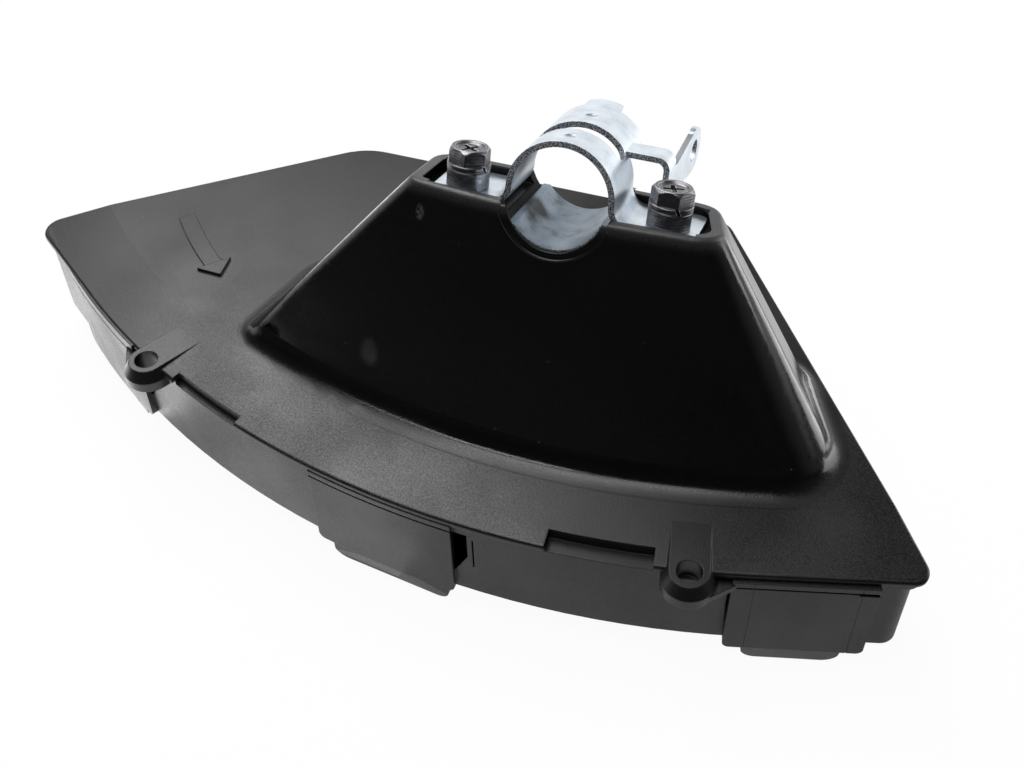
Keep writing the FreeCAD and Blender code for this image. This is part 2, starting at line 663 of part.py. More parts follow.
def make_pocket():
    """Recess inside the rim that takes the cap's flanges."""
    room = round_ridges(boss_wedge(RIM_WALL, -PLATE, BOSS_WORK_TOP), RIM_WALL)
    half_width = FLANGE_END_X + SEAT_CLEARANCE
    bed = Part.makeBox(2 * half_width, LEG_REAR - FLANGE_FRONT + 2 * SEAT_CLEARANCE, REACH / 4,
                       Vec(-half_width, FLANGE_FRONT - SEAT_CLEARANCE, FLANGE_UNDER))
    return room.common(level_block(FLANGE_UNDER, REACH / 4)).fuse(in_guard(bed))


def make_hollow():
    """Space inside the boss, open below, leaving the groove's wall and the bolt pillars."""
    room = round_ridges(boss_wedge(BOSS_WALL, -3 * PLATE, BOSS_WORK_TOP), BOSS_WALL)
    room = room.common(level_block(-REACH, FLANGE_UNDER - POCKET_FLOOR))
    keep = [bore_cylinder(SEAT_RADIUS + GROOVE_WALL, -BORE_REACH, BORE_REACH)]
    for side in (-1, 1):
        base = Vec(side * BOLT_X, BOLT_Y, PILLAR_BOTTOM)
        keep.append(Part.makeCylinder(PILLAR_RADIUS, FLANGE_UNDER - PILLAR_BOTTOM, base))
    for shape in keep:
        room = room.cut(in_guard(shape))
    return room


def make_seat_cut():
    """Groove for the saddle, with a thin lip left at its front end."""
    lip_hole = bore_cylinder(TUBE_RADIUS + SEAT_LIP_CLEARANCE, -BORE_REACH, BORE_REACH)
    seat = bore_cylinder(SEAT_RADIUS, SADDLE_FRONT, BORE_REACH)
    return in_guard(lip_hole.fuse(seat))


def make_shield():
    """The whole moulding as one solid."""
    body = make_plate().fuse(make_boss_body()).removeSplitter()

    def is_boss_foot(edge):
        box = edge.BoundBox
        level = abs(box.ZMin) < 1e-3 and abs(box.ZMax) < 1e-3
        middle = edge.valueAt((edge.FirstParameter + edge.LastParameter) / 2)
        on_front = abs(math.hypot(middle.x, middle.y) - BOSS_FOOT_RADIUS) < 0.5
        return level and on_front
    body = rounded_edges(body, BOSS_FOOT_FILLET, is_boss_foot)

    body = body.fuse([make_border(), make_skirt()] + [make_pocket_block(panel) for panel in PANELS])
    body = body.cut([make_window(panel) for panel in PANELS])
    additions = []
    creases = []
    for panel in PANELS:
        additions += make_panel(panel)
        creases += [make_crease(panel, degrees) for degrees in panel.creases] + [make_seam(panel)]
    notches = []
    for start, end, inner in NOTCHES:
        edge = degrees_along(SHELF_MARGIN)
        additions.append(sector(inner - SHELF_MARGIN, WALL_RADIUS, start - edge, end + edge,
                                NOTCH_FLOOR - SHELF, NOTCH_FLOOR + SHELF / 2))
        notches.append(sector(inner, SECTION_OUTER_RADIUS, start, end, NOTCH_FLOOR, PLATE))
    body = body.fuse(additions)
    body = body.cut(notches + creases + [make_seam_slot(), make_slit(PANELS[1])])
    lugs = [make_lug(angle) for angle in LUG_ANGLES]
    gussets = [make_gusset(LUG_ANGLES[0], -1), make_gusset(LUG_ANGLES[1], 1)]
    body = body.fuse(lugs + gussets + make_arrow())
    body = body.cut([make_lug_hole(angle) for angle in LUG_ANGLES])

    body = body.cut([make_pocket(), make_hollow()])
    body = body.cut(make_seat_cut())
    holes = []
    for side in (-1, 1):
        base = Vec(side * BOLT_X, BOLT_Y, PILLAR_BOTTOM - PLATE)
        depth = FLANGE_TOP - PILLAR_BOTTOM + 2 * PLATE
        holes.append(in_guard(Part.makeCylinder(BOLT_RADIUS + BOLT_CLEARANCE, depth, base)))
    return body.cut(holes)


# clamp

def make_saddle():
    """Lower half shell, cut off below the bore's axis, lower at its left edge than at its right."""
    shell = bore_cylinder(SHELL_RADIUS, SADDLE_FRONT, SADDLE_REAR).cut(
        bore_cylinder(TUBE_RADIUS, SADDLE_FRONT - 1, SADDLE_REAR + 1))
    length = SADDLE_REAR - SADDLE_FRONT
    halves = []
    for start_x, edge in ((-SHELL_RADIUS, SADDLE_LEFT_EDGE), (0.0, SADDLE_RIGHT_EDGE)):
        corner = Vec(start_x, SADDLE_FRONT, -SHELL_RADIUS)
        halves.append(Part.makeBox(SHELL_RADIUS, length, edge + SHELL_RADIUS, corner))
    return shell.common(halves[0].fuse(halves[1])).removeSplitter()


def bore_wedge(start_degrees, end_degrees, start, end):
    """Wedge about the bore's axis between two angles from the top, for cutting arcs of the shell."""
    steps = 6
    reach = 3 * SHELL_RADIUS
    span = (end_degrees - start_degrees) / steps
    points = [Vec(0, start, 0)]
    for index in range(steps + 1):
        angle = math.radians(start_degrees + span * index)
        points.append(Vec(reach * math.sin(angle), start, reach * math.cos(angle)))
    face = Part.Face(Part.makePolygon(points + points[:1]))
    return face.extrude(Vec(0, end - start, 0))


def half_flange_profile(side):
    """Section of one leg: from the bore's axis down round the bend and out along the flange."""
    centre_x = SHELL_RADIUS + FLANGE_BEND
    diagonal = math.sqrt(0.5)
    outer = FLANGE_BEND + SHEET

    def at(x, z):
        return Vec(side * x, FLANGE_FRONT, z)
    edges = [
        Part.makeLine(at(TUBE_RADIUS, 0), at(SHELL_RADIUS, 0)),
        Part.Arc(at(SHELL_RADIUS, 0), at(centre_x - FLANGE_BEND * diagonal, -FLANGE_BEND * diagonal),
                 at(centre_x, FLANGE_TOP)).toShape(),
        Part.makeLine(at(centre_x, FLANGE_TOP), at(FLANGE_END_X, FLANGE_TOP)),
        Part.makeLine(at(FLANGE_END_X, FLANGE_TOP), at(FLANGE_END_X, FLANGE_UNDER)),
        Part.makeLine(at(FLANGE_END_X, FLANGE_UNDER), at(centre_x, FLANGE_UNDER)),
        Part.Arc(at(centre_x, FLANGE_UNDER), at(centre_x - outer * diagonal, -outer * diagonal),
                 at(TUBE_RADIUS, 0)).toShape(),
    ]
    return Part.Face(Part.Wire(edges))


def make_leg(side):
    """Leg and flange on one side of the cap, with its bolt hole and rounded flange corners."""
    leg = half_flange_profile(side).extrude(Vec(0, LEG_REAR - FLANGE_FRONT, 0))

    def is_end_corner(edge):
        box = edge.BoundBox
        thin = abs(box.ZLength - SHEET) < 1e-3 and box.YLength < 1e-3
        return thin and abs(abs(box.XMin) - FLANGE_END_X) < 1e-3
    leg = rounded_edges(leg, FLANGE_CORNER_ROUND, is_end_corner)
    hole = Part.makeCylinder(BOLT_RADIUS + BOLT_CLEARANCE, 3 * SHEET, Vec(side * BOLT_X, BOLT_Y, FLANGE_UNDER - SHEET))
    return leg.cut(hole)


def make_ear():
    """Side ear: a level strip, a bend and an upright eye plate that reaches rearwards."""
    under = EAR_TOP - SHEET
    bend_x = EAR_FACE_X - EAR_BEND - SHEET
    bend_z = under - EAR_BEND
    outer = EAR_BEND + SHEET
    diagonal = math.sqrt(0.5)

    def at(x, z):
        return Vec(x, EAR_FRONT, z)
    edges = [
        Part.makeLine(at(EAR_ROOT_X, under), at(EAR_ROOT_X, EAR_TOP)),
        Part.makeLine(at(EAR_ROOT_X, EAR_TOP), at(bend_x, EAR_TOP)),
        Part.Arc(at(bend_x, EAR_TOP), at(bend_x + outer * diagonal, bend_z + outer * diagonal),
                 at(EAR_FACE_X, bend_z)).toShape(),
        Part.makeLine(at(EAR_FACE_X, bend_z), at(EAR_FACE_X - SHEET, bend_z)),
        Part.Arc(at(EAR_FACE_X - SHEET, bend_z), at(bend_x + EAR_BEND * diagonal, bend_z + EAR_BEND * diagonal),
                 at(bend_x, under)).toShape(),
        Part.makeLine(at(bend_x, under), at(EAR_ROOT_X, under)),
    ]
    strip = Part.Face(Part.Wire(edges)).extrude(Vec(0, EAR_STRIP, 0))
    strip = strip.cut(bore_cylinder(SHELL_RADIUS - SHEET / 2, -BORE_REACH, BORE_REACH))

    eye_y, eye_z = EAR_EYE
    thickness = Vec(SHEET, 0, 0)
    plate_x = EAR_FACE_X - SHEET
    start = EAR_FRONT
    points = [Vec(plate_x, start, EAR_FOOT), Vec(plate_x, eye_y, eye_z - EAR_EYE_RADIUS),
              Vec(plate_x, eye_y, eye_z + EAR_EYE_RADIUS), Vec(plate_x, start + EAR_STRIP, bend_z),
              Vec(plate_x, start, bend_z)]
    plate = Part.Face(Part.makePolygon(points + points[:1])).extrude(thickness)
    eye = Part.makeCylinder(EAR_EYE_RADIUS, SHEET, Vec(plate_x, eye_y, eye_z), Vec(1, 0, 0))
    hole = Part.makeCylinder(EAR_HOLE_RADIUS, 3 * SHEET, Vec(plate_x - SHEET, eye_y, eye_z), Vec(1, 0, 0))
    tab = plate.fuse(eye).cut(hole)
    tab.rotate(Vec(plate_x, start, 0), Vec(0, 0, 1), -EAR_TOE_OUT)
    return strip.fuse(tab)


def make_cap():
    """Upper half shell with legs, flanges, cross slot, dimples, rear tongue and ear."""
    full = bore_cylinder(SHELL_RADIUS, 0, CAP_LENGTH + REAR_TONGUE).cut(
        bore_cylinder(TUBE_RADIUS, -1, BORE_REACH))
    front = full.common(bore_wedge(-90, 90, 0, LEG_REAR))
    rear = full.common(bore_wedge(-REAR_ARC_DEGREES, REAR_ARC_DEGREES, LEG_REAR, CAP_LENGTH))
    tongue = full.common(bore_wedge(-TONGUE_DEGREES, TONGUE_DEGREES, CAP_LENGTH, CAP_LENGTH + REAR_TONGUE))
    cap = front.fuse([rear, tongue, make_leg(-1), make_leg(1), make_ear()])
    cap = cap.cut(bore_cylinder(TUBE_RADIUS, -1, BORE_REACH))

    slot_start, slot_end = CROSS_SLOT
    half_width = (slot_end - slot_start) / 2
    slot = bore_wedge(-CROSS_SLOT_DEGREES, CROSS_SLOT_DEGREES, slot_start, slot_end)
    ends = []
    for side in (-1, 1):
        angle = math.radians(side * CROSS_SLOT_DEGREES)
        outward = Vec(math.sin(angle), 0, math.cos(angle))
        middle = Vec(0, slot_start + half_width, 0)
        ends.append(Part.makeCylinder(half_width, TUBE_RADIUS, middle + outward * (TUBE_RADIUS / 2), outward))
    cap = cap.cut([slot] + ends)
    dents = []
    for station in DIMPLES_Y:
        dents.append(Part.makeSphere(DIMPLE_RADIUS, Vec(0, station, SHELL_RADIUS + DIMPLE_RADIUS - DIMPLE_DEPTH)))
    return cap.cut(dents).removeSplitter()


# fasteners, each on the clamp frame's Z through its bolt hole

def make_ring(outer, inner, bottom, height, edge_round):
    """Plain ring with eased outer edges."""
    ring = Part.makeCylinder(outer, height, Vec(0, 0, bottom)).cut(
        Part.makeCylinder(inner, height + 2, Vec(0, 0, bottom - 1)))

    def is_outer_edge(edge):
        return abs(edge.BoundBox.XLength - 2 * outer) < 1e-3 and edge.BoundBox.ZLength < 1e-3
    return rounded_edges(ring, edge_round, is_outer_edge)


def hexagon(across_flats, bottom, height):
    """Hexagonal prism with two flats square to Y."""
    corner = across_flats / math.sqrt(3)
    points = [Vec(corner * math.cos(math.radians(60 * k)), corner * math.sin(math.radians(60 * k)), 0) for k in range(6)]
    return prism(points, bottom, bottom + height)


def make_collar():
    """Turned spacer collar standing on the flange."""
    return make_ring(RING_OUTER_RADIUS - COLLAR_STEP, BOLT_RADIUS + BOLT_CLEARANCE, FLANGE_TOP, COLLAR, RING_EDGE)


def make_washer():
    """Split spring washer on the collar."""
    bottom = FLANGE_TOP + COLLAR
    ring = make_ring(RING_OUTER_RADIUS, BOLT_RADIUS + BOLT_CLEARANCE, bottom, WASHER, RING_EDGE)
    reach = 2 * RING_OUTER_RADIUS
    slit = Part.makeBox(reach, WASHER_SLIT, 2 * reach, Vec(0, -WASHER_SLIT / 2, -reach))
    slit.rotate(Vec(0, 0, 0), Vec(1, 0, 0), WASHER_SLIT_LEAN)
    slit.translate(Vec(0, 0, bottom + WASHER / 2))
    slit.rotate(Vec(0, 0, 0), UP, -WASHER_SLIT_TURN)
    return ring.cut(slit)


def make_bolt():
    """Hexagon bolt with a chamfered head, a dished top and a cross recess."""
    seat = FLANGE_TOP + COLLAR + WASHER
    head = hexagon(HEAD_ACROSS_FLATS, seat, HEAD_HEIGHT)
    slope = math.tan(math.radians(HEAD_CHAMFER_DEGREES))
    flat_radius = HEAD_ACROSS_FLATS / 2 * HEAD_TOP_SHARE
    top = seat + HEAD_HEIGHT
    drop = HEAD_CONE_DROP
    cone = Part.makeCone(flat_radius + drop / slope, flat_radius, drop, Vec(0, 0, top - drop))
    body = Part.makeCylinder(2 * HEAD_ACROSS_FLATS, HEAD_HEIGHT - drop, Vec(0, 0, seat))
    dish = Part.makeCone(DISH_FLOOR_RADIUS, DISH_RADIUS, DISH_DEPTH, Vec(0, 0, top - DISH_DEPTH))
    head = head.common(cone.fuse(body)).cut(dish)
    for turn in (0, 90):
        arm = Part.makeBox(RECESS_SPAN, RECESS_WIDTH, RECESS_DEPTH + 1,
                           Vec(-RECESS_SPAN / 2, -RECESS_WIDTH / 2, top - RECESS_DEPTH))
        arm.rotate(Vec(0, 0, 0), UP, turn + RECESS_TURN)
        head = head.cut(arm)
    end = PILLAR_BOTTOM - NUT - BOLT_END_BEYOND_NUT
    shank = Part.makeCylinder(BOLT_RADIUS, seat - end, Vec(0, 0, end))
    return head.fuse(shank)


def make_nut():
    """Hexagon nut under the boss's pillar."""
    bottom = PILLAR_BOTTOM - NUT
    nut = hexagon(HEAD_ACROSS_FLATS, bottom, NUT)
    return nut.cut(Part.makeCylinder(BOLT_RADIUS + THREAD_CLEARANCE, NUT + 2, Vec(0, 0, bottom - 1)))


# all pieces

def to_row(shape_in_guard):
    """Guard-frame shape moved to the shared frame, whose origin is the middle of the clamped bore."""
    tilt = math.radians(BORE_TILT)
    middle = CAP_LENGTH / 2
    bore_centre = CAP_FRONT + Vec(0, middle * math.cos(tilt), -middle * math.sin(tilt))
    moved = shape_in_guard.copy()
    moved.translate(bore_centre * -1)
    return moved


def main():
    """Build and export every piece."""
    pieces = {
        "guard_shield": make_shield(),
        "clamp_saddle": in_guard(make_saddle()),
        "clamp_cap": in_guard(make_cap()),
    }
    stack = {"spacer_collar": make_collar(), "spring_washer": make_washer(),
             "clamp_bolt": make_bolt(), "clamp_nut": make_nut()}
    for side, name in ((-1, "left"), (1, "right")):
        for kind, shape in stack.items():
            placed = shape.copy()
            if side < 0:
                placed.rotate(Vec(0, 0, 0), UP, LEFT_STACK_TURN)
            placed.translate(Vec(side * BOLT_X, BOLT_Y, 0))
            pieces[name + "_" + kind] = in_guard(placed)
    os.makedirs("parts", exist_ok=True)
    for name, shape in pieces.items():
        to_row(shape).exportStep("parts/" + name + ".step")


main()
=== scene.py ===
"""Looks of a trimmer blade guard: finishes, studio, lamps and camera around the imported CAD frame."""

import logging
import math
from dataclasses import dataclass, field
from enum import Enum
from typing import Any, Mapping, Sequence

import bpy
from mathutils import Matrix, Vector
from mathutils.bvhtree import BVHTree


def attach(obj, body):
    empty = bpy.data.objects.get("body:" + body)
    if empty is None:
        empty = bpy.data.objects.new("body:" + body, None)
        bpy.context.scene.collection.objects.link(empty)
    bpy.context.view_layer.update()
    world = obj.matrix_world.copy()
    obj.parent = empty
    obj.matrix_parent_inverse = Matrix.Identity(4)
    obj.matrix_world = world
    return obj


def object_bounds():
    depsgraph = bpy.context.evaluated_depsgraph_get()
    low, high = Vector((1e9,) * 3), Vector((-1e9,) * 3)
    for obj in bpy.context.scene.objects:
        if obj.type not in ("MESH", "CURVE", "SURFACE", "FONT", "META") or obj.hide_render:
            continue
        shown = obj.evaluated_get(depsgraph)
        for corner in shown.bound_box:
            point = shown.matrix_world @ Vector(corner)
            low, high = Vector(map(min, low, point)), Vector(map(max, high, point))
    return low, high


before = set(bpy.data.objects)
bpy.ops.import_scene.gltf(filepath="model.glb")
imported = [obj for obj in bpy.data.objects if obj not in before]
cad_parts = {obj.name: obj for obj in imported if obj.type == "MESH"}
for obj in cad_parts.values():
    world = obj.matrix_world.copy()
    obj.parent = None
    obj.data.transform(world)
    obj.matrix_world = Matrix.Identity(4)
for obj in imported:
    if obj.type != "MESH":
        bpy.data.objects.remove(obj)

Socket = bpy.types.NodeSocket
Colour = tuple[float, float, float, float]
Point = tuple[float, float, float]
Span = tuple[float, float]

LOG = logging.getLogger("blade_guard")
MM = 0.001
ROOT = "root"
BORE_TILT = math.radians(18.0)
BORE_AXIS = (0.0, -math.cos(BORE_TILT), math.sin(BORE_TILT))
CLAMP_UP = (0.0, math.sin(BORE_TILT), math.cos(BORE_TILT))
PLATE_TOP = -61.11 * MM
CAD_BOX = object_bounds()
WHITE: Colour = (1.0, 1.0, 1.0, 1.0)
UNIT: Span = (0.0, 1.0)

# The mix node keeps two inputs and one output for each type of value, told apart by place.
MIX_SHARE = 0
MIX_NUMBERS = (2, 3)
MIX_NUMBER_RESULT = 0
MIX_COLOURS = (6, 7)
MIX_COLOUR_RESULT = 2

# A wave texture of scale one turns by this many radians in a metre.
WAVE_TURN = 20.0


class Maths(Enum):
    """Operations on numbers."""

    ADD = "ADD"
    SUBTRACT = "SUBTRACT"
    MULTIPLY = "MULTIPLY"
    MULTIPLY_ADD = "MULTIPLY_ADD"
    MAXIMUM = "MAXIMUM"
    ABSOLUTE = "ABSOLUTE"
    LESS_THAN = "LESS_THAN"
    GREATER_THAN = "GREATER_THAN"


class VectorMaths(Enum):
    """Operations on vectors."""

    SUBTRACT = "SUBTRACT"
    MULTIPLY = "MULTIPLY"
    DOT_PRODUCT = "DOT_PRODUCT"
    LENGTH = "LENGTH"


class Fade(Enum):
    """How a value runs from one end of a span to the other."""

    EVEN = "LINEAR"
    SOFT = "SMOOTHSTEP"


class Place(Enum):
    """Coordinates that a pattern can follow."""

    OBJECT = "Object"
    DIRECTION = "Generated"


class Side(Enum):
    """The two sides of the clamp, seen from the rim."""

    LEFT = "left"
    RIGHT = "right"


def linear(hex_colour: str) -> Colour:
    """Turns an sRGB hex colour into the linear colour that Blender's sockets take.

    Args:
        hex_colour: Six hex digits with a leading hash sign.

    Returns:
        Red, green, blue and an alpha of one, all linear.
    """
    parts = [int(hex_colour[place:place + 2], 16) / 255 for place in (1, 3, 5)]
    curve = [part / 12.92 if part <= 0.04045 else ((part + 0.055) / 1.055) ** 2.4 for part in parts]
    return (curve[0], curve[1], curve[2], 1.0)


def per_metre(size_mm: float) -> float:
    """Gives a pattern's texture scale.

    Args:
        size_mm: The width of one cell of the pattern.

    Returns:
        The number of cells in a metre.
    """
    return 1.0 / (size_mm * MM)


@dataclass(frozen=True)
class Graph:
    """A node tree, with one call for each kind of node that the finishes share."""

    tree: bpy.types.NodeTree

    def add(
        self,
        kind: str,
        settings: Mapping[str, Any] | None = None,
        inputs: Mapping[str | int, Any] | None = None,
    ) -> bpy.types.Node:
        """Adds one node, sets its options, and fills or links its inputs.

        Args:
            kind: Blender's name for the node type.
            settings: Attributes of the node to set.
            inputs: Input sockets by name or place, each with a value or the output that feeds it.

        Returns:
            The new node.
        """
        node = self.tree.nodes.new(kind)
        for name, value in (settings or {}).items():
            setattr(node, name, value)
        for name, value in (inputs or {}).items():
            socket = node.inputs[name]
            if isinstance(value, Socket):
                self.tree.links.new(value, socket)
            else:
                socket.default_value = value
        return node

    def place(self, kind: Place = Place.OBJECT) -> Socket:
        """Adds coordinates.

        Args:
            kind: The coordinates to follow.

        Returns:
            The coordinates.
        """
        return self.add("ShaderNodeTexCoord").outputs[kind.value]

    def normal(self) -> Socket:
        """Adds the surface's normal and returns it."""
        return self.add("ShaderNodeNewGeometry").outputs["Normal"]

    def axes(self, vector: Socket) -> tuple[Socket, Socket, Socket]:
        """Splits a vector.

        Args:
            vector: The vector to split.

        Returns:
            Its x, y and z.
        """
        split = self.add("ShaderNodeSeparateXYZ", None, {"Vector": vector}).outputs
        return split["X"], split["Y"], split["Z"]

    def maths(self, operation: Maths, *values: Socket | float) -> Socket:
        """Works on numbers.

        Args:
            operation: What is done.
            values: The numbers, in the node's order.

        Returns:
            The result.
        """
        node = self.add("ShaderNodeMath", {"operation": operation.value}, dict(enumerate(values)))
        return node.outputs["Value"]

    def vector(self, operation: VectorMaths, *values: Socket | Sequence[float]) -> Socket:
        """Works on vectors.

        Args:
            operation: What is done.
            values: The vectors, in the node's order.

        Returns:
            A number for a dot product or a length, and otherwise a vector.
        """
        node = self.add("ShaderNodeVectorMath", {"operation": operation.value}, dict(enumerate(values)))
        is_number = operation in (VectorMaths.DOT_PRODUCT, VectorMaths.LENGTH)
        return node.outputs["Value" if is_number else "Vector"]

    def fade(self, value: Socket, span: Span, ends: Span = UNIT, shape: Fade = Fade.SOFT) -> Socket:
        """Maps a value from a span, which may run downwards, to a range.

        Args:
            value: The value to map.
            span: The values at which the fade starts and is full.
            ends: The results there and beyond.
            shape: How the result runs in between.

        Returns:
            The mapped value.
        """
        node = self.add("ShaderNodeMapRange", {"interpolation_type": shape.value},
                        {"Value": value, "From Min": span[0], "From Max": span[1],
                         "To Min": ends[0], "To Max": ends[1]})
        return node.outputs["Result"]

    def noise(self, place: Socket, size_mm: float, detail: float, harshness: float = 0.5) -> Socket:
        """Adds a cloudy pattern.

        Args:
            place: The coordinates to follow.
            size_mm: The width of one cloud.
            detail: How many finer layers lie on it.
            harshness: How strong each finer layer is, as a share of the one before.

        Returns:
            The pattern, mostly between a third and two thirds.
        """
        node = self.add("ShaderNodeTexNoise", None,
                        {"Vector": place, "Scale": per_metre(size_mm), "Detail": detail,
                         "Roughness": harshness})
        return node.outputs["Fac"]

    def mix(self, share: Socket, first: Socket, second: float) -> Socket:
        """Mixes two numbers.

        Args:
            share: The second number's share.
            first: The number where the share is zero.
            second: The number where the share is one.

        Returns:
            The mixed number.
        """
        pair = dict(zip(MIX_NUMBERS, (first, second)))
        return self.add("ShaderNodeMix", None, {MIX_SHARE: share, **pair}).outputs[MIX_NUMBER_RESULT]

    def blend(self, share: Socket, first: Socket | str, second: Socket | str) -> Socket:
        """Mixes two colours.

        Args:
            share: The second colour's share.
            first: A socket or a hex colour.
            second: A socket or a hex colour.

        Returns:
            The mixed colour.
        """
        colours = [colour if isinstance(colour, Socket) else linear(colour) for colour in (first, second)]
        pair = dict(zip(MIX_COLOURS, colours))
        node = self.add("ShaderNodeMix", {"data_type": "RGBA"}, {MIX_SHARE: share, **pair})
        return node.outputs[MIX_COLOUR_RESULT]

    def rounded(self, radius_mm: float, samples: int) -> Socket:
        """Softens sharp edges.

        Args:
            radius_mm: The radius that an edge seems to have.
            samples: The number of samples taken for it.

        Returns:
            The softened normal.
        """
        node = self.add("ShaderNodeBevel", {"samples": samples}, {"Radius": radius_mm * MM})
        return node.outputs["Normal"]

    def bump(self, strength: Socket | float, depth_mm: float, height: Socket, normal: Socket) -> Socket:
        """Adds a fine grain to a normal.

        Args:
            strength: The share of the grain that shows.
            depth_mm: The grain's depth.
            height: The grain's pattern.
            normal: The normal without the grain.

        Returns:
            The normal with the grain.
        """
        node = self.add("ShaderNodeBump", None,
                        {"Strength": strength, "Distance": depth_mm * MM, "Height": height,
                         "Normal": normal})
        return node.outputs["Normal"]

    def surface(self, inputs: Mapping[str, Any]) -> None:
        """Adds the shader and the material's output.

        Args:
            inputs: The shader's inputs by name.
        """
        shader = self.add("ShaderNodeBsdfPrincipled", None, inputs)
        self.add("ShaderNodeOutputMaterial", None, {"Surface": shader.outputs["BSDF"]})


def new_material(name: str) -> tuple[bpy.types.Material, Graph]:
    """Makes an empty node material.

    Args:
        name: The material's name.

    Returns:
        The material and its cleared graph.
    """
    material = bpy.data.materials.new(name)
    material.use_nodes = True
    material.node_tree.nodes.clear()
    return material, Graph(material.node_tree)


@dataclass(frozen=True)
class SmudgeAndShade:
    """A soft patch, pale on the moulding where it is a mark from handling, and dark on the zinc where it
    is a painted shadow.
    """

    centre_mm: Point
    reach_mm: Point
    strength: float
    breakup_mm: float
    breakup_detail: float = 3.0
    breakup_span: Span = (0.35, 0.7)
    reach_span: Span = (1.0, 0.25)

    def mask(self, graph: Graph, place: Socket) -> Socket:
        """Adds the mark's mask.

        Args:
            graph: The material's graph.
            place: The object coordinates.

        Returns:
            A value that is greatest in the mark's middle and zero outside it.
        """
        offset = graph.vector(VectorMaths.SUBTRACT, place, [part * MM for part in self.centre_mm])
        scaled = graph.vector(VectorMaths.MULTIPLY, offset, [per_metre(part) for part in self.reach_mm])
        spot = graph.fade(graph.vector(VectorMaths.LENGTH, scaled), self.reach_span)
        speckle = graph.noise(place, self.breakup_mm, self.breakup_detail)
        broken = graph.fade(speckle, self.breakup_span, (0.0, self.strength), Fade.EVEN)
        return graph.maths(Maths.MULTIPLY, spot, broken)


